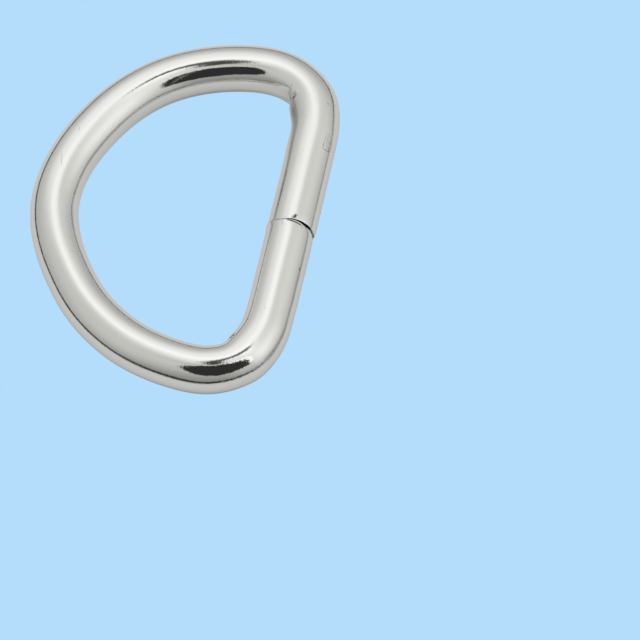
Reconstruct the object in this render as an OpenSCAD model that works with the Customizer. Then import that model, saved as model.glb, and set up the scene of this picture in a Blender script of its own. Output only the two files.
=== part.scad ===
// A D ring of bent round wire, lying flat as it rests.
// X runs along the straight bar, Y from the bar to the crown, Z up.
// The origin is under the middle of the outline, on the surface that the ring lies on.

/* [Wire] */
// Diameter of the round wire
wire_d = 4; // [3:0.1:5]
// How much thicker the wire is where it is bent tightest
bend_swell = 0.02; // [0.02:0.01:0.1]

/* [Outline] */
// Clear width inside the ring at its widest, for 1 inch webbing
inside_w = 25.4; // [22:0.1:30]
// Clear height inside the ring, from the bar to the crown
inside_h = 15.8; // [14:0.1:19]
// Bend radius of the corners beside the bar, at the middle of the wire
corner_r = 5.2; // [4:0.1:6.2]
// Bend radius of the shoulders, at the middle of the wire
shoulder_r = 15.5; // [14.5:0.1:20]
// Bend radius of the crown, at the middle of the wire
crown_r = 10; // [7:0.1:12]
// How far the crown's bend lies to the left of the bar's middle
crown_lean = 0.4; // [0:0.1:1.5]

/* [Butt joint] */
// How far the joint lies to the left of the bar's middle
joint_shift = 0.4; // [-4:0.1:4]
// Gap between the wire's ends on the inside of the ring
joint_gap_inside = 0.08; // [0.05:0.01:0.3]
// Gap between the wire's ends on the outside of the ring
joint_gap_outside = 0.2; // [0.05:0.01:0.5]

/* [Hidden] */

$fn = 64;

// The wire of the corners and the crown, and the height of the wire's middle
bend_d = wire_d + bend_swell;
mid_z = bend_d / 2;

// The outline at the middle of the wire
mid_w = inside_w + bend_d;
mid_h = inside_h + wire_d / 2 + bend_d / 2;
low_y = -(mid_h + bend_d / 2 - wire_d / 2) / 2;

// Where the bends have their centres
corner = [mid_w / 2 - corner_r, low_y + corner_r];
crown = [-crown_lean, low_y + mid_h - crown_r];

// How far the bar and the shoulders run on inside the thicker bends beside them
seat = 0.2;

// The cutter of the joint reaches this far past the wire
cut_over = 0.2;

// The centre of one shoulder's bend, which runs on from that side's corner into the crown.
// side is 1 for the right shoulder. For the left one it is -1, and the centre is mirrored.
function shoulder_centre(side) =
    let(
        top = [side * crown.x, crown.y],
        to_corner = shoulder_r - corner_r,
        to_top = shoulder_r - crown_r,
        span = norm(top - corner),
        way = (top - corner) / span,
        along = (to_corner ^ 2 - to_top ^ 2 + span ^ 2) / (2 * span),
        across = sqrt(to_corner ^ 2 - along ^ 2)
    )
    corner + along * way + across * [-way.y, way.x];

// The direction from one point to another, in degrees from +X
function heading(from, to) = atan2(to.y - from.y, to.x - from.x);

// Where the corner gives way to the shoulder, and the shoulder to the crown
function corner_end(side) = heading(shoulder_centre(side), corner);
function shoulder_end(side) = heading(shoulder_centre(side), [side * crown.x, crown.y]);

// The turn, in degrees, that moves a point round a bend by a length
function turn(length, radius) = length / radius * 180 / PI;

// A bend of the wire about a centre, between two directions in degrees from +X
module bend(centre, radius, start, end, d)
    translate([centre.x, centre.y, mid_z])
        rotate([0, 0, start])
            rotate_extrude(angle = end - start)
                translate([radius, 0])
                    circle(d = d);

// The straight length between the two corners
module bar()
    translate([-corner.x - seat, low_y, mid_z])
        rotate([0, 90, 0])
            cylinder(d = wire_d, h = 2 * (corner.x + seat));

// The tight bend from the bar into one side
module corner_bend(side)
    bend(corner, corner_r, -90, corner_end(side), bend_d);

// The long, open bend of one side
module shoulder_bend(side)
    bend(
        shoulder_centre(side),
        shoulder_r,
        corner_end(side) - turn(seat, shoulder_r),
        shoulder_end(side) + turn(seat, shoulder_r),
        wire_d
    );

// The bend across the top, from the end of one shoulder to the end of the other
module crown_bend()
    bend(crown, crown_r, shoulder_end(1), 180 - shoulder_end(-1), bend_d);

// The slit between the wire's two ends, wider towards the outside of the ring
module joint_slit() {
    flare = (joint_gap_outside - joint_gap_inside) / wire_d;
    half_inside = (joint_gap_inside - flare * cut_over) / 2;
    half_outside = (joint_gap_outside + flare * cut_over) / 2;
    reach = wire_d / 2 + cut_over;
    translate([-joint_shift, low_y, mid_z - reach])
        linear_extrude(2 * reach)
            polygon([
                [-half_outside, -reach],
                [half_outside, -reach],
                [half_inside, reach],
                [-half_inside, reach]
            ]);
}

module wire_ring()
    color([0.78, 0.77, 0.74])
        difference() {
            union() {
                bar();
                corner_bend(1);
                shoulder_bend(1);
                crown_bend();
                mirror([1, 0, 0]) {
                    corner_bend(-1);
                    shoulder_bend(-1);
                }
            }
            joint_slit();
        }

wire_ring();
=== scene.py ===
import math

import bpy
import numpy as np
from mathutils import Matrix, Vector


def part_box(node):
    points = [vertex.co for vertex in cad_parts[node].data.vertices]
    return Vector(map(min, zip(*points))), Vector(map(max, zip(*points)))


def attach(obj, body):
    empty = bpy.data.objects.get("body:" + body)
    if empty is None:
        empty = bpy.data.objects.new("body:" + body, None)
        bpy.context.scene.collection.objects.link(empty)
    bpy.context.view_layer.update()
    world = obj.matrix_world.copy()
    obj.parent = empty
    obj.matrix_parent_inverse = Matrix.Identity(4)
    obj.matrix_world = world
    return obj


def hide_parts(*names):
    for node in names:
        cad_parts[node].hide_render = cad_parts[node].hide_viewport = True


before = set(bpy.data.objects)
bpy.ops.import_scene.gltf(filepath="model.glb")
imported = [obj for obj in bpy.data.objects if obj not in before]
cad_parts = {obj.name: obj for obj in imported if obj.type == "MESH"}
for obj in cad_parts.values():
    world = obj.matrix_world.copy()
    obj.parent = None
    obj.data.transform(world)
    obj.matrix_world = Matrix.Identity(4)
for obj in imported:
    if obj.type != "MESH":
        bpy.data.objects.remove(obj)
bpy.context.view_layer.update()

# Lengths are in millimetres until a mesh is made. MM turns them into metres.
# A place on the wire is its length from the joint, anticlockwise along the middle line, and the angle
# round the wire in degrees: 0 is the ring's outer side, 90 the top and 180 the inner side.
# The first corner is the one that comes first that way round, and the second corner is the other.
MM = 0.001

# The ring's driving sizes. Bends are measured at the middle of the wire. The crown's bend and the joint
# lie to the left of the bar's middle.
WIRE_D = 4.0
CORNER_R = 5.2
SHOULDER_R = 15.5
CROWN_R = 10.0
CROWN_LEAN = 0.4
JOINT_SHIFT = 0.4

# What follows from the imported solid, whose wire is a little thicker in the corners and the crown
ring_low, ring_high = (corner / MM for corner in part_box("wire_ring"))
WIRE_R = WIRE_D / 2
BEND_D = ring_high.z - ring_low.z
MID_Z = (ring_high.z + ring_low.z) / 2
MID_W = ring_high.x - ring_low.x - BEND_D
LOW_Y = ring_low.y + WIRE_R
HIGH_Y = ring_high.y - BEND_D / 2


# Sums that several parts of the script need

def ease(value, start, end):
    """0 before start, 1 past end, and smooth between. The end may be the lower of the two."""
    share = np.clip((value - start) / (end - start), 0, 1)
    return share * share * (3 - 2 * share)


def plateau(value, rise, fall):
    """0, then 1 between a rise and a fall, then 0 again, smooth between. Both are a start and an end."""
    return ease(value, *rise) * (1 - ease(value, *fall))


def looked_up(table, key, *columns):
    """What some columns of a table say between its rows, by its first column."""
    rows = np.array(table)
    return [np.interp(key, rows[:, 0], rows[:, column]) for column in columns]


def turn_between(around, middle):
    """The angle from one direction round the wire to another, in degrees, from -180 to 180."""
    return (around - middle + 180) % 360 - 180


def eased(values, step, spread):
    """A closed row of values blurred along its length."""
    turns = np.fft.fftfreq(len(values), d=step)
    weight = np.exp(-2 * (math.pi * turns * spread) ** 2)
    if values.ndim == 2:
        weight = weight[:, None]
    return np.real(np.fft.ifft(np.fft.fft(values, axis=0) * weight, axis=0))


# The wire's middle line

def heading(start, end):
    """The direction from one point to another, in radians from +X."""
    return math.atan2(end[1] - start[1], end[0] - start[0])


def shoulder_centre(corner, top):
    """The centre of the bend that runs on from the corner's bend into the crown's."""
    to_corner = SHOULDER_R - CORNER_R
    to_top = SHOULDER_R - CROWN_R
    gap = top - corner
    span = math.hypot(*gap)
    way = gap / span
    along = (to_corner ** 2 - to_top ** 2 + span ** 2) / (2 * span)
    across = math.sqrt(to_corner ** 2 - along ** 2)
    return corner + along * way + across * np.array([-way[1], way[0]])


def side_bends(side):
    """Corner centre, shoulder centre and crown centre of one side, and the two angles between them.
    Side 1 is the right one. For -1, all of it is mirrored in X."""
    corner = np.array([MID_W / 2 - CORNER_R, LOW_Y + CORNER_R])
    top = np.array([-side * CROWN_LEAN, HIGH_Y - CROWN_R])
    shoulder = shoulder_centre(corner, top)
    return corner, shoulder, top, heading(shoulder, corner), heading(shoulder, top)


def bend_points(centre, radius, start, end, step):
    """Points along one bend, anticlockwise, its last point left out."""
    count = max(2, round(abs(end - start) * radius / step))
    angle = start + (end - start) * np.arange(count) / count
    return centre + radius * np.stack([np.cos(angle), np.sin(angle)], 1)


def bar_points(start, end, step):
    """Points along one stretch of the bar, its end left out."""
    across = np.arange(start, end, step)
    return np.stack([across, np.full_like(across, LOW_Y)], 1)


def middle_line(step):
    """The closed middle line, anticlockwise from the joint along the bar to +X."""
    corner, shoulder, top, corner_end, shoulder_end = side_bends(1)
    left_corner, left_shoulder, _, left_corner_end, left_shoulder_end = side_bends(-1)
    flip = np.array([-1, 1])
    pi = math.pi
    crown_end = pi - left_shoulder_end
    left_end = pi - left_corner_end
    return np.vstack([
        bar_points(-JOINT_SHIFT, corner[0], step),
        bend_points(corner, CORNER_R, -pi / 2, corner_end, step),
        bend_points(shoulder, SHOULDER_R, corner_end, shoulder_end, step),
        bend_points(top, CROWN_R, shoulder_end, crown_end, step),
        bend_points(left_shoulder * flip, SHOULDER_R, crown_end, left_end, step),
        bend_points(left_corner * flip, CORNER_R, left_end, 1.5 * pi, step),
        bar_points(-left_corner[0], -JOINT_SHIFT, step),
    ])


# The bends run into each other over LINE_EASE. A direction is taken over WAY_REACH on both sides.
LINE_STEP = 0.02
LINE_EASE = 0.8
WAY_REACH = 0.05
LINE = eased(middle_line(LINE_STEP), LINE_STEP, LINE_EASE)
LINE_ALONG = np.concatenate([[0], np.cumsum(np.hypot(*np.diff(LINE, axis=0).T))])
LENGTH = LINE_ALONG[-1] + math.hypot(*(LINE[0] - LINE[-1]))


def line_point(along):
    """Points of the middle line at some lengths from the joint."""
    closed_along = np.append(LINE_ALONG, LENGTH)
    closed = np.vstack([LINE, LINE[:1]])
    return np.stack([np.interp(along % LENGTH, closed_along, closed[:, k]) for k in (0, 1)], 1)


def line_out(along):
    """The direction to the ring's outer side at some lengths from the joint."""
    way = line_point(along + WAY_REACH) - line_point(along - WAY_REACH)
    way /= np.linalg.norm(way, axis=1)[:, None]
    return np.stack([way[:, 1], -way[:, 0]], 1)


# What bending by machine left on the wire

# Slow wavers: place as a share of the wire, and how far the outer and inner side stand out
WAVERS = (
    # share, outer, inner
    (0.000, 0.03, 0.02),
    (0.040, 0.03, 0.00),
    (0.090, 0.02, 0.01),
    (0.125, -0.03, 0.02),
    (0.165, 0.11, -0.03),
    (0.220, -0.08, 0.03),
    (0.270, 0.00, -0.02),
    (0.335, 0.10, -0.15),
    (0.375, 0.00, -0.04),
    (0.430, -0.12, 0.15),
    (0.480, 0.00, -0.02),
    (0.545, 0.15, -0.09),
    (0.610, -0.11, 0.07),
    (0.660, 0.05, -0.05),
    (0.715, 0.11, -0.07),
    (0.780, -0.08, 0.08),
    (0.825, 0.03, -0.10),
    (0.845, 0.16, -0.03),
    (0.890, -0.03, -0.02),
    (0.960, 0.01, 0.00),
    (0.996, 0.01, 0.015),
)
WAVER_STEP = 0.1
WAVER_EASE = 1.2

# Steps at the joint, where one end stands out more than the other. Each end has a height and how soon
# it fades, for the outer and the inner side.
RIGHT_STEP = ((0.06, 2.5), (0.00, 1.0))
LEFT_STEP = ((-0.07, 1.5), (0.12, 0.35))

# Bulges, pinches and flats: a place, its reach along and round the wire, and a height
SWELLS = (
    # along, around, reach_along, reach_around, height
    (10.5, 0, 0.6, 40, -0.036),
    (12.7, 0, 0.7, 40, 0.045),
    (14.9, 0, 0.5, 40, -0.018),
    (64.7, 0, 0.8, 40, 0.028),
    (68.0, 0, 0.5, 40, 0.045),
    (70.0, 0, 0.7, 40, -0.045),
    (74.0, 0, 0.7, 40, 0.025),
    (8.3, 165, 1.2, 22, 0.05),
    (11.7, 176, 1.0, 38, 0.155),
    (11.4, 153, 1.5, 7, -0.022),
    (9.2, 52, 1.1, 14, 0.03),
    (68.4, 55, 0.9, 18, 0.04),
    (75.5, 55, 3.5, 18, -0.03),
    (66.8, 180, 0.8, 45, -0.06),
    (66.7, 180, 0.4, 45, -0.035),
    (68.1, 180, 0.5, 45, 0.035),
    (69.4, 180, 1.2, 50, 0.20),
    (71.7, 180, 0.8, 45, 0.040),
    (70.2, 32, 1.0, 5, -0.010),
    (75.0, 32, 3.5, 5, -0.010),
)

# Nicks and the pit: a place, its reach along and round the wire, and a depth. Below 0 it stands out.
NICKS = (
    # along, around, reach_along, reach_around, depth
    (0.45, 82.5, 0.09, 2.6, 0.09),
    (0.34, 86, 0.05, 2.2, 0.05),
    (0.19, 84, 0.09, 1.0, 0.03),
    (67.94, 150, 0.08, 7, 0.10),
    (68.11, 147, 0.05, 5, -0.05),
    (68.29, 148, 0.09, 7, 0.11),
    (13.35, 142, 0.10, 4, 0.07),
    (13.40, 134, 0.10, 3, 0.06),
    (13.58, 128, 0.10, 3, -0.05),
    (11.60, 58, 0.10, 2.5, 0.02),
)

# The crease in the first corner, where the inner side was folded in: by the angle round the wire, its
# line, and where the cut beyond it starts to get shallower
CREASE = (
    # around, along, fades_from
    (112, 14.75, 13.80),
    (126, 14.60, 13.80),
    (133, 14.30, 13.78),
    (145, 13.80, 13.72),
    (150, 13.45, 13.68),
    (158, 13.10, 13.64),
    (180, 12.98, 13.60),
    (240, 13.30, 13.60),
)

# How deep the cut is, over what lengths it drops and fades, and where it begins and ends round the wire
CREASE_DEPTH = 0.51
CREASE_DROP = 0.42
CREASE_FADE = 1.42
CREASE_RISE = (122, 172)
CREASE_FALL = (200, 240)

# The scuff on the first corner's outer side: a shallow print with an edge on three sides
SCUFF_DEPTH = 0.010
SCUFF_RISE_ALONG = (7.47, 7.53)
SCUFF_FALL_ALONG = (8.60, 9.60)
SCUFF_RISE_AROUND = (26, 34)
SCUFF_FALL_AROUND = (54.8, 57.2)

# The side that the ring lies on, and how far from it the marks come in
UNDERSIDE = 270
UNDERSIDE_EDGE = (30, 60)


def wavers(along):
    """How far the outer and the inner side stand out at some lengths from the joint."""
    grid = np.arange(0, LENGTH, WAVER_STEP)
    table = np.array(WAVERS)
    places = table[:, 0] * LENGTH
    rows = []
    for column, right, left in zip((1, 2), RIGHT_STEP, LEFT_STEP):
        row = eased(np.interp(grid, places, table[:, column], period=LENGTH), WAVER_STEP, WAVER_EASE)
        stands = np.interp(along % LENGTH, grid, row, period=LENGTH)
        stands = stands + right[0] * np.exp(-np.maximum(along, 0) / right[1])
        stands = stands + left[0] * np.exp(-np.maximum(LENGTH - along, 0) / left[1])
        rows.append(stands)
    return rows


def hills(table, along, around):
    """The sum of a table's rounded hills."""
    total = np.zeros(along.shape)
    for place, angle, reach_along, reach_around, height in table:
        steps = (along - place) / reach_along
        turns = turn_between(around, angle) / reach_around
        total += height * np.exp(-(steps ** 2 + turns ** 2) / 2)
    return total


def crease_cut(along, around):
    """How deep the folded side lies beyond the crease."""
    start, fades_from = looked_up(CREASE, around, 1, 2)
    drop = 1 - np.exp(-np.maximum(along - start, 0) / CREASE_DROP)
    fade = np.exp(-(np.maximum(along - fades_from, 0) / CREASE_FADE) ** 2 / 2)
    return CREASE_DEPTH * drop * fade * plateau(around, CREASE_RISE, CREASE_FALL)


def scuff_cut(along, around):
    """How deep the scuff is."""
    length = plateau(along, SCUFF_RISE_ALONG, SCUFF_FALL_ALONG)
    width = plateau(around, SCUFF_RISE_AROUND, SCUFF_FALL_AROUND)
    return SCUFF_DEPTH * length * width


def relief(along, around):
    """How far the surface stands out from a round wire. The side that the ring lies on stays round."""
    marks = hills(SWELLS, along, around) - hills(NICKS, along, around)
    marks = marks - crease_cut(along, around) - scuff_cut(along, around)
    return marks * ease(np.abs(turn_between(around, UNDERSIDE)), *UNDERSIDE_EDGE)


# The butt joint

# Where each end of the wire is, by the angle round it, from the joint's middle
ENDS = (
    # around, right, left
    (0, 0.04, -0.04),
    (12, 0.03, -0.06),
    (20, 0.03, -0.04),
    (30, 0.03, -0.02),
    (38, 0.07, -0.05),
    (47, 0.105, -0.05),
    (55, 0.12, -0.01),
    (62, 0.15, 0.06),
    (75, 0.155, 0.11),
    (88, 0.14, 0.10),
    (96, 0.10, 0.04),
    (104, 0.04, 0.01),
    (118, -0.01, -0.03),
    (133, 0.05, 0.03),
    (145, 0.02, 0.00),
    (155, 0.01, -0.01),
    (162, -0.08, -0.10),
    (169, -0.22, -0.24),
    (177, -0.28, -0.30),
    (190, -0.10, -0.12),
    (220, 0.02, 0.00),
    (300, 0.04, -0.04),
    (360, 0.04, -0.04),
)
END_FADE = 1.2

# Each end is rounded over by rows of points at these angles, and its face is closed by rows at these
# shares of its width
RIM_R = 0.04
RIM_TURNS = (30, 60, 90)
FACE_SHARES = (0.85, 0.6, 0.3)

# The edges are pulled in beside the joint, not on the inner side and most on the outer side
SLUMP = 0.035
SLUMP_REACH = 0.20
SLUMP_SIDES = (80, 130)
SLUMP_OUTSIDE = 1.8
SLUMP_OUTSIDE_EDGE = (10, 45)

# The crack on the left end, which leaves a sliver: by the angle, its place from the joint's middle
CRACK = (
    # around, place
    (58, -0.14),
    (68, -0.12),
    (78, -0.06),
    (86, -0.03),
    (94, -0.01),
)
CRACK_DEPTH = 0.06
CRACK_WIDTH = 0.03
CRACK_RISE = (56, 62)
CRACK_FALL = (92, 98)


def slump(along, around):
    """How far the edges are pulled in beside the joint."""
    depth = SLUMP * (np.exp(-along / SLUMP_REACH) + np.exp(-(LENGTH - along) / SLUMP_REACH))
    from_outside = np.abs(turn_between(around, 0))
    sides = 1 - ease(from_outside, *SLUMP_SIDES)
    outside = 1 + SLUMP_OUTSIDE * (1 - ease(from_outside, *SLUMP_OUTSIDE_EDGE))
    return depth * sides * outside


def crack(place, around):
    """0 to 1 inside the crack on the left end."""
    off = place - LENGTH - looked_up(CRACK, around, 1)[0]
    return plateau(around, CRACK_RISE, CRACK_FALL) * np.exp(-(off / CRACK_WIDTH) ** 2 / 2)


# The mesh

# Degrees between points round the wire on its upper and its lower half
UPPER_TURN = 2.0
LOWER_TURN = 3.6
ANGLES = np.concatenate([np.arange(0, 180, UPPER_TURN), np.arange(180, 360, LOWER_TURN)])
PER_DEGREE = math.pi * WIRE_D / 360

# How far apart the rings of points are along the wire, closer where it is marked
SPACING = (
    # from, to, step
    (0.0, 0.8, 0.035),
    (0.8, 2.0, 0.1),
    (2.0, 7.2, 0.3),
    (7.2, 7.8, 0.04),
    (7.8, 11.0, 0.12),
    (11.0, 12.7, 0.08),
    (12.7, 14.9, 0.045),
    (14.9, 18.0, 0.12),
    (18.0, 61.0, 0.3),
    (61.0, 67.5, 0.2),
    (67.5, 68.9, 0.045),
    (68.9, 73.0, 0.12),
    (73.0, LENGTH - 1.5, 0.3),
    (LENGTH - 1.5, LENGTH - 0.5, 0.08),
    (LENGTH - 0.5, LENGTH, 0.022),
)

# Dirt, thin plate, painted shade and painted reflection: a place, its reach along and round the wire,
# and how dark it is
STAINS_AND_PAINTED_SHADE = (
    # along, around, reach_along, reach_around, amount
    (0.45, 82.5, 0.10, 2.6, 1.0),
    (0.34, 86, 0.05, 2.2, 0.6),
    (0.19, 84, 0.09, 1.0, 0.3),
    (0.08, 95, 0.06, 2.5, 0.8),
    (80.45, 168, 0.09, 4, 0.5),
    # Painted reflection: these three rows darken the reflected dark line along the bar's outer and inner
    # side and along the outer side beyond the second corner
    (3.5, 35, 3.0, 2.5, 0.10),
    (3.6, 135.5, 2.0, 3.0, 0.18),
    (74.8, 32.5, 3.5, 3.0, 0.14),
    (13.35, 142, 0.10, 3.5, 0.7),
    (13.40, 134.5, 0.08, 3, 0.35),
    (13.72, 136, 0.07, 3, 0.4),
    # Painted shade: these three rows darken the valley along the crease
    (14.40, 150, 0.10, 8, 0.32),
    (14.15, 164, 0.10, 9, 0.40),
    (14.05, 182, 0.10, 14, 0.45),
    (14.60, 168, 0.35, 14, 0.08),
    # Painted reflection: these two rows darken the reflected dark line on the second corner's outer side
    (69.2, 32, 0.40, 5, 0.26),
    (70.6, 33, 0.9, 3.0, 0.10),
    (7.75, 38, 0.12, 3, 0.25),
    (8.30, 39.5, 0.10, 3, 0.20),
    (8.95, 41, 0.12, 2, 0.15),
    (9.70, 42, 0.10, 2, 0.12),
    # Painted shade: these six rows darken a band along the first corner's inner side
    (6.7, 139, 0.8, 3, 0.12),
    (7.9, 143, 0.9, 4, 0.20),
    (9.4, 148, 0.6, 6, 0.26),
    (10.6, 155, 0.8, 9, 0.37),
    (12.0, 156, 0.8, 9, 0.40),
    (16.4, 152, 1.3, 13, 0.08),
    (67.94, 150, 0.085, 8, 1.0),
    (68.29, 148, 0.10, 8, 1.0),
    (67.68, 150, 0.06, 5, 0.45),
    (68.55, 145, 0.07, 5, 0.45),
)

# Dirt along the joint between the top and the inner side, and in the crack
SEAM_DIRT = 0.30
SEAM_DIRT_REACH = 0.07
SEAM_DIRT_RISE = (100, 112)
SEAM_DIRT_FALL = (175, 190)
CRACK_DIRT = 0.8

# How dark the rows of the rounded rim and the cut face are, from the rim inwards, and what is left of
# that from the outer side up, where light still reaches them. It is dirt and bare steel, with painted
# shade in the joint's gap.
RIM_DIRT_AND_SHADE = (0.4, 0.8, 1.0, 1.0, 1.0, 1.0)
LIT_SIDE_DARK_SHARE = 0.4
LIT_SIDE_EDGE = (20, 40)

# Where the plate was stretched, as a rise and a fall along each corner, and how much stronger the
# orange peel is there
STRETCHED = (((6, 8), (14, 18)), ((64, 67), (69, 72)))
STRETCHED_PEEL = 1.5


def stations():
    """Lengths along the wire at which it has a ring of points."""
    rows = []
    for start, stop, step in SPACING:
        count = max(1, round((stop - start) / step))
        rows.append(start + (stop - start) * np.arange(count) / count)
    return np.append(np.concatenate(rows), LENGTH)


def skin(along, around):
    """Points of the wire's surface, and their true lengths from the joint, for a grid of places."""
    along, around = np.broadcast_arrays(along, around)
    right_end, left_end = looked_up(ENDS, around % 360, 1, 2)
    right = np.exp(-(along / END_FADE) ** 2) * (right_end + RIM_R)
    left = np.exp(-((along - LENGTH) / END_FADE) ** 2) * (left_end - RIM_R)
    place = along + right + left
    outer, inner = (row.reshape(place.shape) for row in wavers(place.ravel()))
    lift = relief(place, around) - slump(along, around) - CRACK_DEPTH * crack(place, around)
    angle = np.radians(around)
    level = (outer - inner) / 2 + (WIRE_R + (outer + inner) / 2 + lift) * np.cos(angle)
    height = (WIRE_R + lift) * np.sin(angle)
    flat = line_point(place.ravel()) + line_out(place.ravel()) * level.reshape(-1, 1)
    return np.column_stack([flat, MID_Z + height.ravel()]).reshape(*place.shape, 3), place


def end_rows(ring, direction):
    """Rows of points that round one end of the wire over into its cut face, and their middle."""
    centre = ring.mean(0)
    way = np.array([direction, 0.0, 0.0])
    inward = centre - ring
    inward = inward - (inward @ way)[:, None] * way
    inward /= np.linalg.norm(inward, axis=1)[:, None]
    rows = []
    for turn in RIM_TURNS:
        angle = math.radians(turn)
        rows.append(ring + RIM_R * (math.sin(angle) * way + (1 - math.cos(angle)) * inward))
    middle = centre + RIM_R * way
    face = rows[-1] - middle
    return rows + [middle + face * share for share in FACE_SHARES], middle


def dirt_and_shade(place, around):
    """How dark the plate is with dirt, painted shade and painted reflection, from 0 to 1."""
    from_joint = np.maximum(np.minimum(place, LENGTH - place), 0)
    seam = np.exp(-from_joint / SEAM_DIRT_REACH) * plateau(around, SEAM_DIRT_RISE, SEAM_DIRT_FALL)
    level = SEAM_DIRT * seam + CRACK_DIRT * crack(place, around) + hills(STAINS_AND_PAINTED_SHADE, place, around)
    return np.clip(level, 0, 1)


def stretch(place, around):
    """How strong the orange peel is: it is stronger on the outer side of the corners."""
    corners = sum(plateau(place, rise, fall) for rise, fall in STRETCHED)
    outer = np.maximum(np.cos(np.radians(around)), 0)
    return 1.0 + STRETCHED_PEEL * corners * outer ** 2


def wire_points():
    """All points of the ring, each row's places on the wire, and how dark each point is with dirt and
    painted shade.
    """
    grid, place = skin(stations()[:, None], ANGLES[None, :])
    first_rows, first_middle = end_rows(grid[0], -1)
    last_rows, last_middle = end_rows(grid[-1], 1)
    rows = first_rows[::-1] + list(grid) + last_rows
    row_place = [place[0]] * len(first_rows) + list(place) + [place[-1]] * len(last_rows)
    # Painted shade on the rim and cut face, lighter on the outer side where light reaches them
    black = LIT_SIDE_DARK_SHARE + (1 - LIT_SIDE_DARK_SHARE) * ease(ANGLES, *LIT_SIDE_EDGE)
    row_dirt_and_shade = [black * level for level in RIM_DIRT_AND_SHADE[::-1]]
    row_dirt_and_shade += list(dirt_and_shade(place, ANGLES[None, :]))
    row_dirt_and_shade += [black * level for level in RIM_DIRT_AND_SHADE]
    points = np.vstack([np.array(rows).reshape(-1, 3), first_middle, last_middle])
    return points, row_place, np.append(np.concatenate(row_dirt_and_shade), [1.0, 1.0])


def tube_faces(rows, columns):
    """Faces of a tube of rows of points, each end closed by a fan round one of the last two points."""
    faces = []
    for row in range(rows - 1):
        for column in range(columns):
            following = (column + 1) % columns
            faces.append((
                row * columns + column,
                (row + 1) * columns + column,
                (row + 1) * columns + following,
                row * columns + following,
            ))
    last = (rows - 1) * columns
    for column in range(columns):
        following = (column + 1) % columns
        faces.append((rows * columns, column, following))
        faces.append((rows * columns + 1, last + following, last + column))
    return faces


def wire_map(row_place):
    """The wire laid out flat, in mm, for each corner of its faces in their order."""
    count = len(ANGLES)
    turned = np.append(ANGLES, 360.0) * PER_DEGREE
    corners = []
    for here, beyond in zip(row_place, row_place[1:]):
        for column in range(count):
            following = (column + 1) % count
            corners += [
                (here[column], turned[column]),
                (beyond[column], turned[column]),
                (beyond[following], turned[column + 1]),
                (here[following], turned[column + 1]),
            ]
    for column in range(count):
        corners += [(0.0, turned[column])] * 3 + [(LENGTH, turned[column])] * 3
    return corners


def new_piece(name, points, faces, material):
    """A piece of the scene from points in mm, its object at the origin."""
    mesh = bpy.data.meshes.new(name)
    mesh.from_pydata((np.array(points, float) * MM).tolist(), [], faces)
    mesh.materials.append(material)
    piece = bpy.data.objects.new(name, mesh)
    bpy.context.scene.collection.objects.link(piece)
    return piece


def wire_ring():
    """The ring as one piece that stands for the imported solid."""
    points, row_place, dirt_and_shade_levels = wire_points()
    faces = tube_faces(len(row_place), len(ANGLES))
    stretches = np.append(np.concatenate([stretch(one, ANGLES) for one in row_place]), [1.0, 1.0])
    piece = new_piece("plated_wire_ring", points, faces, nickel())
    mesh = piece.data
    mesh.polygons.foreach_set("use_smooth", [True] * len(faces))
    layer = mesh.uv_layers.new(name="wire_map")
    layer.uv.foreach_set("vector", np.array(wire_map(row_place), np.float32).ravel())
    for name, values in (("dirt_and_shade", dirt_and_shade_levels), ("stretch", stretches)):
        stored = mesh.attributes.new(name, "FLOAT", "POINT")
        stored.data.foreach_set("value", values.astype(np.float32))
    mesh.update()
    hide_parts("wire_ring")
    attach(piece, "root")
    return piece


# Nickel plate

# The clean plate, and the colour and the added roughness where it is dark with dirt and with painted
# shade
CLEAN = (0.797, 0.79, 0.774)
DIRT_AND_SHADE_COLOUR = (0.030, 0.026, 0.020)
CLEAN_ROUGHNESS = 0.06
DARK_ROUGHNESS = 0.4

# The orange peel
PEEL_DEPTH = 0.005
PEEL_PER_MM = 4.5
PEEL_DETAIL = 3.0
PEEL_ROUGHNESS = 0.6

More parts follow.
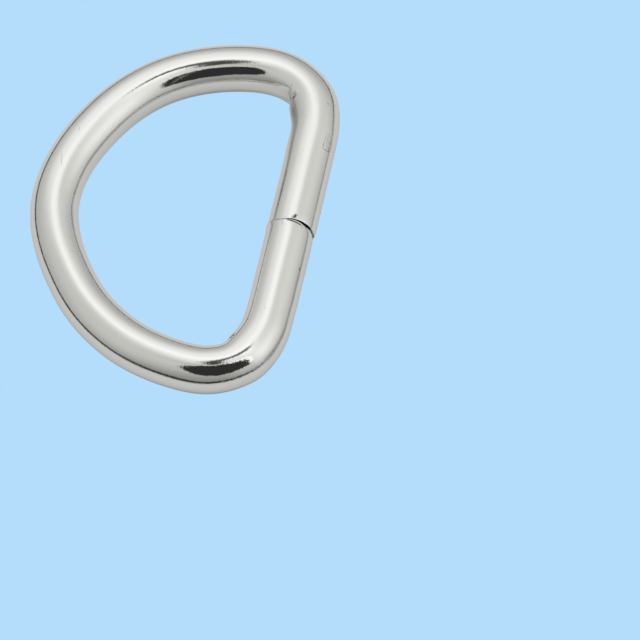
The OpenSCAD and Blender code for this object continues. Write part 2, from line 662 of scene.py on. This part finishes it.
# Small marks in the plate: a place, half length, half width, turn in degrees on the flat map, how dark
# it is, and how deep as a share of MARK_DEPTH. Below 0 it stands out.
MARKS = (
    # along, around, long, wide, turn, dark, deep
    (0.46, 83.0, 0.15, 0.10, -15, 0.95, 0),
    (80.32, 107.5, 0.32, 0.035, 7, 0.12, 1.0),
    (2.15, 7.0, 0.09, 0.10, 0, 0.8, 0),
    (2.91, 105.2, 0.05, 0.04, 0, 0.15, 0),
    (5.43, 102.0, 0.06, 0.05, 0, 0.12, 0),
    (7.39, 73.0, 0.08, 0.05, 30, 0.15, 0),
    (7.48, 45.0, 0.38, 0.050, 95, 0.55, 0.8),
    (7.88, 56.2, 0.44, 0.045, 4, 0.50, 0.8),
    (8.62, 55.4, 0.55, 0.035, 0, 0.40, 0.8),
    (8.50, 49.0, 0.75, 0.035, 2, 0.35, 0),
    (7.52, 37.0, 0.12, 0.090, 0, 0.60, 0),
    (11.61, 58.5, 0.20, 0.06, 35, 0.35, 0.8),
    (11.72, 33.4, 0.06, 0.05, 0, 0.35, 0),
    (10.29, 113.3, 0.11, 0.06, 10, 0.18, 0),
    (13.35, 142.0, 0.12, 0.08, 40, 0.85, 1.0),
    (13.40, 134.5, 0.12, 0.06, 60, 0.35, 0),
    (13.58, 128.5, 0.10, 0.08, 20, 0.0, -1.5),
    (14.55, 127.0, 0.30, 0.06, -70, 0.25, 0.5),
    (14.15, 136.0, 0.35, 0.05, -50, 0.25, 0),
    (13.00, 149.5, 0.12, 0.05, -60, 0.45, 0),
    (36.10, 80.0, 0.32, 0.020, 22, 0.15, 0.6),
    (39.30, 84.0, 0.78, 0.020, 22, 0.10, 0.6),
    (48.50, 111.0, 0.06, 0.05, 0, 0.55, 0),
    (68.20, 139.5, 0.10, 0.06, -30, 0.45, 0),
    (76.68, 35.5, 0.17, 0.12, 0, 0.75, 0),
    (76.86, 105.0, 0.05, 0.05, 0, 0.20, 0),
    (72.06, 100.0, 0.10, 0.08, 0, 0.10, 0.5),
)
MARK_DEPTH = 0.02

# A mark starts to fade at this share of its reach
MARK_CORE = 0.5

# The colour sockets of a mix node, which share their names with those for numbers
MIX_FIRST = 6
MIX_SECOND = 7
MIX_RESULT = 2


def node(tree, kind, **settings):
    """One shader node. A setting that isn't a property of the node sets the input of that name."""
    made = tree.nodes.new(kind)
    for name, value in settings.items():
        if hasattr(made, name):
            setattr(made, name, value)
        else:
            made.inputs[name].default_value = value
    return made


def joined(tree, operation, first, second):
    """Two values joined by one operation. Each is a node's output or a number."""
    made = node(tree, "ShaderNodeMath", operation=operation)
    for socket, value in zip(made.inputs, (first, second)):
        if isinstance(value, (int, float)):
            socket.default_value = value
        else:
            tree.links.new(value, socket)
    return made.outputs[0]


def stored_value(tree, name, output="Fac"):
    """What the mesh stores at its points under one name."""
    return node(tree, "ShaderNodeAttribute", attribute_name=name).outputs[output]


def new_material(name):
    """An empty material, its node tree and the socket that takes its surface."""
    material = bpy.data.materials.new(name)
    material.use_nodes = True
    tree = material.node_tree
    tree.nodes.clear()
    return material, tree, node(tree, "ShaderNodeOutputMaterial").inputs["Surface"]


def mark_mask(tree, flat_map, along, around, long, wide, turn):
    """1 inside one small mark on the wire's flat map, 0 outside it, with a soft edge."""
    local = node(tree, "ShaderNodeMapping", vector_type="TEXTURE")
    local.inputs["Location"].default_value = (along, around % 360 * PER_DEGREE, 0)
    local.inputs["Rotation"].default_value = (0, 0, math.radians(turn))
    local.inputs["Scale"].default_value = (long, wide, 1)
    distance = node(tree, "ShaderNodeVectorMath", operation="LENGTH")
    edge = node(tree, "ShaderNodeMapRange")
    edge.inputs["From Min"].default_value = MARK_CORE
    edge.inputs["From Max"].default_value = 1.0
    edge.inputs["To Min"].default_value = 1.0
    edge.inputs["To Max"].default_value = 0.0
    tree.links.new(flat_map, local.inputs["Vector"])
    tree.links.new(local.outputs["Vector"], distance.inputs[0])
    tree.links.new(distance.outputs["Value"], edge.inputs["Value"])
    return edge.outputs["Result"]


def dark_and_height(tree):
    """How dark the plate is with dirt, painted shade and marks, and how far its marks stand out."""
    flat_map = node(tree, "ShaderNodeUVMap", uv_map="wire_map").outputs["UV"]
    dark = stored_value(tree, "dirt_and_shade")
    height = 0.0
    for along, around, long, wide, turn, darkness, depth in MARKS:
        mask = mark_mask(tree, flat_map, along, around, long, wide, turn)
        if darkness:
            dark = joined(tree, "MAXIMUM", dark, joined(tree, "MULTIPLY", mask, darkness))
        if depth:
            height = joined(tree, "ADD", height, joined(tree, "MULTIPLY", mask, -depth))
    return dark, height


def peel_height(tree):
    """How far the orange peel stands out."""
    place = node(tree, "ShaderNodeTexCoord")
    peel = node(tree, "ShaderNodeTexNoise", Scale=PEEL_PER_MM / MM)
    peel.inputs["Detail"].default_value = PEEL_DETAIL
    peel.inputs["Roughness"].default_value = PEEL_ROUGHNESS
    tree.links.new(place.outputs["Object"], peel.inputs["Vector"])
    return joined(tree, "MULTIPLY", peel.outputs["Fac"], stored_value(tree, "stretch"))


def bumped(tree, height, depth, normal=None):
    """The normal of a surface with a height on it, and with another normal under that."""
    bump = node(tree, "ShaderNodeBump", Strength=1.0, Distance=depth * MM)
    tree.links.new(height, bump.inputs["Height"])
    if normal is not None:
        tree.links.new(normal, bump.inputs["Normal"])
    return bump.outputs["Normal"]


def plate_colour(tree, dark):
    """The plate's colour, from clean to dark with dirt and painted shade."""
    tone = node(tree, "ShaderNodeMix", data_type="RGBA")
    tone.inputs[MIX_FIRST].default_value = (*CLEAN, 1)
    tone.inputs[MIX_SECOND].default_value = (*DIRT_AND_SHADE_COLOUR, 1)
    tree.links.new(dark, tone.inputs[0])
    return tone.outputs[MIX_RESULT]


def nickel():
    """Bright nickel with a fine orange peel, small marks and dirt in the deeper ones, and painted shade
    in its dark parts.
    """
    material, tree, surface = new_material("nickel_plate")
    shader = node(tree, "ShaderNodeBsdfPrincipled", Metallic=1.0)
    dark, height = dark_and_height(tree)
    peeled = bumped(tree, peel_height(tree), PEEL_DEPTH)
    rougher = joined(tree, "MULTIPLY", dark, DARK_ROUGHNESS)
    tree.links.new(bumped(tree, height, MARK_DEPTH, peeled), shader.inputs["Normal"])
    tree.links.new(plate_colour(tree, dark), shader.inputs["Base Color"])
    tree.links.new(joined(tree, "ADD", rougher, CLEAN_ROUGHNESS), shader.inputs["Roughness"])
    tree.links.new(shader.outputs["BSDF"], surface)
    return material


# The camera, in degrees and mm. It looks at CAMERA_AIM. The clip lengths are in metres.

CAMERA_ELEVATION = 61.3
CAMERA_AZIMUTH = -78.01
CAMERA_DISTANCE = 320.0
CAMERA_AIM = (-8.05, -14.03, 2.0)
FOCAL_LENGTH = 219.55
SENSOR_WIDTH = 36
CLIP_START = 0.01
CLIP_END = 20


def camera_axes():
    """The camera's right, up and backward directions."""
    tilt, turn = math.radians(CAMERA_ELEVATION), math.radians(CAMERA_AZIMUTH)
    back = Vector((math.sin(turn) * math.cos(tilt), -math.cos(turn) * math.cos(tilt), math.sin(tilt)))
    right = Vector((math.cos(turn), math.sin(turn), 0))
    return right, back.cross(right), back


def camera_side():
    """The level direction towards the camera."""
    back = camera_axes()[2]
    return Vector((back.x, back.y, 0)).normalized()


def camera():
    """The camera at the photograph's angle."""
    right, up, back = camera_axes()
    data = bpy.data.cameras.new("camera")
    data.sensor_width = SENSOR_WIDTH
    data.lens = FOCAL_LENGTH
    data.clip_start = CLIP_START
    data.clip_end = CLIP_END
    made = bpy.data.objects.new("camera", data)
    place = (Vector(CAMERA_AIM) + back * CAMERA_DISTANCE) * MM
    made.matrix_world = Matrix.Translation(place) @ Matrix((right, up, back)).transposed().to_4x4()
    bpy.context.scene.collection.objects.link(made)
    bpy.context.scene.camera = made


# The light tent

# Levels are display levels from 0 to 255 as the metal shows them, and METAL is the share of light that
# it gives back. Places on the tent are degrees from straight up, to the camera's right and away from it,
# and tilt is the whole angle from straight up.
TENT_R = 330.0
TENT_ROWS = 180
TENT_COLUMNS = 240
METAL = 0.79
WALL = 190
GROUND = 192

# Slow changes of the wall: what each adds, and where it comes in. None stands for everywhere.
WALL_SLOPES = (
    # adds, tilt, right, away
    (-21, (45, 95), None, None),
    (-40, None, None, (-18, -82)),
    (14, None, (20, 70), (0, -50)),
    (10, (92, 70), (40, -20), (30, 70)),
)

# Soft patches of light and dimness
PATCHES = (
    # right, away, wide, deep, turn, adds
    (-9, 38, 15, 22, 12, 36),
    (-2, 20, 8, 9, 0, 24),
    (11, 24, 6, 11, 0, 14),
    (-31, 41, 9, 10, 0, 11),
    (48, -10, 34, 18, -8, 42),
    (62, -38, 14, 11, 0, 13),
    (70, 20, 22, 18, 0, 14),
    (14, 2, 8, 7, 0, 22),
    (-1, -11, 10, 5, 0, -26),
    (11, 7, 3, 3, 0, 14),
    (-8, 6, 6, 5, 0, 6),
    (14, 50, 18, 16, 0, 12),
    (12, 62, 30, 10, 0, -7),
    (0, 82, 45, 14, 0, -8),
    (-48, 62, 20, 16, 0, 7),
    (-52, -50, 16, 14, 0, 8),
    (46, -62, 12, 12, 0, 18),
    (0, -74, 34, 7, 0, 5),
)

# The fold at the top of the tent. It is paler away from the camera, and paler still at its right end.
FOLD = ((3.5, -5), (2, -1), (1.5, 4), (3, 9.5), (6, 12), (8.5, 11.1))
FOLD_LEVEL = 64
FOLD_EDGE = (2.3, 5.3)
FOLD_AWAY_GAIN = 34
FOLD_AWAY = (4, 9.5)
FOLD_RIGHT_GAIN = 30
FOLD_RIGHT = (7, 11)

# The ground below the wall, by tilt: where it takes over, and what it loses further down
GROUND_EDGE = (94, 102)
GROUND_LOSSES = (
    # loss, tilt
    (8, (110, 150)),
    (22, (145, 180)),
)

# The dark line where the wall meets the ground, by direction in degrees: 0 is towards the camera and 90
# to its right. Drop is how dark the line is, and elevation how far above the level it lies.
HORIZON = (
    # direction, drop, elevation, width
    (-180, 70, -6, 2.2),
    (-163, 85, -10, 2.2),
    (-150, 118, -9, 2.3),
    (-138, 132, -8, 2.4),
    (-120, 130, -6.5, 2.4),
    (-95, 142, -7, 2.4),
    (-75, 160, -6.5, 2.5),
    (-50, 112, -3, 2.5),
    (-30, 105, 0, 3.1),
    (10, 140, -1, 2.2),
    (40, 110, -4, 2.2),
    (62, 88, -7, 2.2),
    (72, 60, -9, 2.4),
    (90, 50, -11, 2.3),
    (108, 52, -12, 2.3),
    (113, 75, -10, 2.0),
    (121, 85, -2, 2.0),
    (133, 98, -5, 2.0),
    (145, 95, -8.5, 2.0),
    (160, 78, -7.5, 2.0),
    (180, 70, -6, 2.2),
)

# What the light loses of its red, green and blue: where the cloth isn't bright, less so on the ground,
# and where the level is low
CLOTH_TINT = (0.008, 0.0, 0.032)
BRIGHT_CLOTH = (215, 245)
GROUND_TINT_LOSS = 0.7
GROUND_TINT_EDGE = (98, 106)
DIM_TINT = (0.0, 0.0, 0.05)
DIM = (110, 180)

# Stands for no length at all where a sum divides by it
TINY = 1e-9


def edge_distance(right, away, start, end):
    """Distance to one straight edge."""
    run = (end[0] - start[0], end[1] - start[1])
    share = ((right - start[0]) * run[0] + (away - start[1]) * run[1]) / (run[0] ** 2 + run[1] ** 2)
    share = np.clip(share, 0, 1)
    return np.hypot(right - start[0] - share * run[0], away - start[1] - share * run[1])


def wall_slope(right, away):
    """What the slow changes add to the wall."""
    total = np.zeros(right.shape)
    for adds, *stretches in WALL_SLOPES:
        part = np.full(right.shape, float(adds))
        for value, span in zip((np.hypot(right, away), right, away), stretches):
            if span is not None:
                part = part * ease(value, *span)
        total = total + part
    return total


def wall_level(right, away):
    """The tent's white wall with its patches of light."""
    level = WALL + wall_slope(right, away)
    for middle_right, middle_away, wide, deep, turn, adds in PATCHES:
        cos, sin = math.cos(math.radians(turn)), math.sin(math.radians(turn))
        across = (right - middle_right) * cos + (away - middle_away) * sin
        up = (away - middle_away) * cos - (right - middle_right) * sin
        level = level + adds * np.exp(-((across / wide) ** 2 + (up / deep) ** 2) / 2)
    return level


def with_fold(level, right, away):
    """A level with the fold laid over it."""
    distance = np.minimum.reduce([edge_distance(right, away, *pair) for pair in zip(FOLD, FOLD[1:])])
    fold = FOLD_LEVEL + FOLD_AWAY_GAIN * ease(away, *FOLD_AWAY)
    fold = fold + FOLD_RIGHT_GAIN * ease(right, *FOLD_RIGHT)
    return level + (fold - level) * (1 - ease(distance, *FOLD_EDGE))


def tent_level(right, away):
    """What the metal shows of the tent in each direction."""
    tilt = np.hypot(right, away)
    level = with_fold(wall_level(right, away), right, away)
    ground = GROUND - sum(loss * ease(tilt, *span) for loss, span in GROUND_LOSSES)
    level = level + (ground - level) * ease(tilt, *GROUND_EDGE)
    direction = np.degrees(np.arctan2(right, -away))
    drop, elevation, width = looked_up(HORIZON, direction, 1, 2, 3)
    return level - drop * np.exp(-((tilt - 90 + elevation) / width) ** 2 / 2)


def linear(level):
    """A display level as light, by the standard curve of displays."""
    share = np.asarray(level, float) / 255
    return np.where(share <= 0.04045, share / 12.92, ((share + 0.055) / 1.055) ** 2.4)


def tent_light(right, away):
    """The tent's light by direction."""
    level = tent_level(right, away)
    on_wall = 1 - GROUND_TINT_LOSS * ease(np.hypot(right, away), *GROUND_TINT_EDGE)
    cloth = on_wall * (1 - ease(level, *BRIGHT_CLOTH))
    dim = 1 - ease(level, *DIM)
    tint = 1 - cloth[:, None] * np.array(CLOTH_TINT) - dim[:, None] * np.array(DIM_TINT)
    return linear(level)[:, None] / METAL * tint


def stage_piece(name, points, faces, material):
    """A piece of the surroundings, from points in mm."""
    piece = new_piece(name, points, faces, material)
    return piece


def paint(piece, values):
    """Gives each point of a piece its own colour."""
    colours = np.ones((len(values), 4), np.float32)
    colours[:, :values.shape[1]] = values
    stored = piece.data.attributes.new("light", "FLOAT_COLOR", "POINT")
    stored.data.foreach_set("color", colours.ravel())


def unseen(piece, *ways):
    """Hides a piece in some ways, such as from the camera."""
    for way in ways:
        setattr(piece, "visible_" + way, False)
    return piece


def glow(name, colour=None):
    """A material that only glows, in one colour or in the colour of each point."""
    material, tree, surface = new_material(name)
    light = node(tree, "ShaderNodeEmission")
    if colour is None:
        tree.links.new(stored_value(tree, "light", "Color"), light.inputs["Color"])
    else:
        light.inputs["Color"].default_value = (*colour, 1)
    tree.links.new(light.outputs["Emission"], surface)
    return material


def tent_directions():
    """Directions in rows from the top of the tent down, and then straight up and straight down."""
    tilt = np.radians(np.arange(1, TENT_ROWS) * 180 / TENT_ROWS)
    turn = np.radians(np.arange(TENT_COLUMNS) * 360 / TENT_COLUMNS)
    tilt, turn = np.meshgrid(tilt, turn, indexing="ij")
    rows = np.stack([np.sin(tilt) * np.cos(turn), np.sin(tilt) * np.sin(turn), np.cos(tilt)], -1)
    return np.vstack([rows.reshape(-1, 3), [0, 0, 1], [0, 0, -1]])


def tent():
    """The tent of white cloth all round the ring, which only the ring sees."""
    points = tent_directions()
    tilt = np.degrees(np.arccos(np.clip(points[:, 2], -1, 1)))
    flat = np.maximum(np.hypot(points[:, 0], points[:, 1]), TINY)
    right = tilt * (points @ np.array(camera_axes()[0])) / flat
    away = -tilt * (points @ np.array(camera_side())) / flat
    faces = tube_faces(TENT_ROWS - 1, TENT_COLUMNS)
    piece = stage_piece("light_tent", points * TENT_R, faces, glow("tent_light"))
    paint(piece, tent_light(right, away))
    return unseen(piece, "camera", "shadow")


# The dark panel and the white strip

# The dark panel round the camera's lens: its distance from the ring, its lean from straight up towards
# the camera, and its outline, to the camera's right and up the panel
PANEL_DISTANCE = 108.0
PANEL_LEAN = 37.0
PANEL_LEVEL = 44
PANEL = (
    (-8, 38), (4, 37), (25, 39), (42, 36), (56, 28), (65, 16), (72, 3), (78, -10), (84, -22), (76, -35),
    (59, -44), (40, -50), (22, -52), (5, -47), (-9, -44), (-22, -33), (-30, -14), (-30, 2), (-22, 21),
)

# A white strip in front of the panel, of which the second corner sees a bright crescent and the crown
# only the edge. Its outline is what it covers of the panel as that corner sees it. It runs the way that
# STRIP_RUN does, at a share of the way from that corner to the panel.
STRIP_LEVEL = 253
STRIP_SEEN_FROM = (-13.7, -9.4, 3.75)
STRIP_EDGE_FROM = (10.6, 3.2, 3.6)
STRIP_SHARE = 0.5
STRIP_RUN = ((50, 24), (79, -15))
STRIP = (
    (24, 41), (24, 35), (33, 31), (41, 26), (47, 21), (55, 12), (64, 3), (70, -9), (74, -19), (78, -23),
    (83, -16), (84, -6), (79, 6), (68, 21), (58, 31), (44, 41),
)


def panel_points(outline):
    """Places on the panel, from their distances to the camera's right and up the panel."""
    right = camera_axes()[0]
    lean = math.radians(PANEL_LEAN)
    facing = camera_side() * math.sin(lean) + Vector((0, 0, math.cos(lean)))
    up = facing.cross(right)
    middle = Vector((0, 0, MID_Z)) + facing * PANEL_DISTANCE
    return [middle + right * x + up * y for x, y in outline]


def screen(name, points, level):
    """A flat piece of one level, which only the ring sees."""
    light = float(linear(level)) / METAL
    piece = stage_piece(name, points, [tuple(range(len(points)))], glow(name, (light,) * 3))
    return unseen(piece, "camera", "diffuse", "shadow")


def white_strip():
    """The white strip in front of the panel. It lies in the plane that the crown sees edge-on."""
    eye = Vector(STRIP_SEEN_FROM)
    start, end = panel_points(STRIP_RUN)
    middle = eye + ((start + end) / 2 - eye) * STRIP_SHARE
    face = (middle - Vector(STRIP_EDGE_FROM)).cross(end - start)
    reach = face.dot(middle - eye)
    points = [eye + (far - eye) * reach / face.dot(far - eye) for far in panel_points(STRIP)]
    return screen("white_strip", points, STRIP_LEVEL)


# The paper under the ring

# How the ring's own shade dims the paper, as the ring sees it: close to the wire, less so inside the
# ring, and some more all over the inside, most on its right side
CONTACT_SHADE = 0.22
CONTACT_REACH = 0.9
INSIDE_CONTACT = 0.3
INSIDE_EDGE = (-1.5, 1.5)
INSIDE_SHADE = 0.02
SIDE_SHADE = 0.07
SIDE_PLACE = (12.0, 0.0)
SIDE_REACH = 5.0

# The shade's mesh: its height, its step, how far it runs past the wire and where the shade fades out
# there. Every tenth point of the middle line is enough to find how close the wire is.
SHADE_Z = -0.02
SHADE_STEP = 0.5
SHADE_MARGIN = 6.0
SHADE_END = (3.5, 5.5)
SHADE_EVERY = 10

# The floor, a little lower than the shade, and its display colour
FLOOR_Z = -0.03
FLOOR_REACH = 6000
FLOOR_COLOUR = (180, 221, 251)


def shade_level(points):
    """The share of light that the paper keeps at some points, by how close the wire is."""
    line = LINE[::SHADE_EVERY]
    out = line_out(LINE_ALONG[::SHADE_EVERY])
    gaps = np.linalg.norm(points[:, None] - line[None], axis=2)
    nearest = gaps.argmin(1)
    gap = gaps[np.arange(len(points)), nearest] - WIRE_R
    side = ((points - line[nearest]) * out[nearest]).sum(1)
    inside = 1 - ease(side, *INSIDE_EDGE)
    beside = np.exp(-(np.linalg.norm(points - np.array(SIDE_PLACE), axis=1) / SIDE_REACH) ** 2 / 2)
    contact = 1 - inside * (1 - INSIDE_CONTACT) * (1 - beside)
    shade = CONTACT_SHADE * contact * np.exp(-np.maximum(gap, 0) / CONTACT_REACH)
    shade += inside * (INSIDE_SHADE + SIDE_SHADE * beside)
    return 1 - shade * (1 - ease(np.where(side > 0, gap, 0), *SHADE_END))


def sheet_faces(rows, columns):
    """Faces of a flat sheet of rows of points."""
    faces = []
    for row in range(rows - 1):
        for column in range(columns - 1):
            start = row * columns + column
            faces.append((start, start + 1, start + 1 + columns, start + columns))
    return faces


def veil():
    """A clear material that dims the light by the level of each point."""
    material, tree, surface = new_material("paper_shade")
    clear = node(tree, "ShaderNodeBsdfTransparent")
    tree.links.new(stored_value(tree, "light", "Color"), clear.inputs["Color"])
    tree.links.new(clear.outputs["BSDF"], surface)
    return material


def paper_shade():
    """The shade that the ring throws on the paper, which only the ring sees."""
    reach = SHADE_MARGIN + WIRE_R
    across = np.arange(-MID_W / 2 - reach, MID_W / 2 + reach, SHADE_STEP)
    along = np.arange(LOW_Y - reach, HIGH_Y + reach, SHADE_STEP)
    grid_x, grid_y = np.meshgrid(across, along)
    flat = np.stack([grid_x.ravel(), grid_y.ravel()], 1)
    points = np.column_stack([flat, np.full(len(flat), SHADE_Z)])
    piece = stage_piece("paper_shade", points, sheet_faces(len(along), len(across)), veil())
    paint(piece, np.repeat(shade_level(flat)[:, None], 3, axis=1))
    return unseen(piece, "camera", "diffuse", "shadow")


def floor_paper():
    """Paper that glows in its own colour on its upper side and is clear from below."""
    material, tree, surface = new_material("floor_paper")
    light = node(tree, "ShaderNodeEmission")
    light.inputs["Color"].default_value = (*linear(FLOOR_COLOUR).tolist(), 1)
    side = node(tree, "ShaderNodeNewGeometry")
    clear = node(tree, "ShaderNodeBsdfTransparent")
    either = node(tree, "ShaderNodeMixShader")
    tree.links.new(side.outputs["Backfacing"], either.inputs["Fac"])
    tree.links.new(light.outputs["Emission"], either.inputs[1])
    tree.links.new(clear.outputs["BSDF"], either.inputs[2])
    tree.links.new(either.outputs["Shader"], surface)
    return material


def floor():
    """The pale sheet under the ring, seen by the camera from above and not from below."""
    signs = ((-1, -1), (1, -1), (1, 1), (-1, 1))
    corners = [(x * FLOOR_REACH, y * FLOOR_REACH, FLOOR_Z) for x, y in signs]
    piece = stage_piece("floor", corners, [(0, 1, 2, 3)], floor_paper())
    return unseen(piece, "glossy", "diffuse", "shadow")


def surroundings():
    """The same pale colour past the floor's edge, seen by the camera alone."""
    world = bpy.data.worlds.new("surroundings")
    bpy.context.scene.world = world
    world.use_nodes = True
    shade = world.node_tree.nodes["Background"]
    shade.inputs["Color"].default_value = (*linear(FLOOR_COLOUR).tolist(), 1)
    for way in ("glossy", "diffuse", "transmission"):
        setattr(world.cycles_visibility, way, False)


camera()
wire_ring()
tent()
screen("lens_panel", panel_points(PANEL), PANEL_LEVEL)
white_strip()
paper_shade()
floor()
surroundings()
bpy.context.scene.view_settings.view_transform = "Standard"
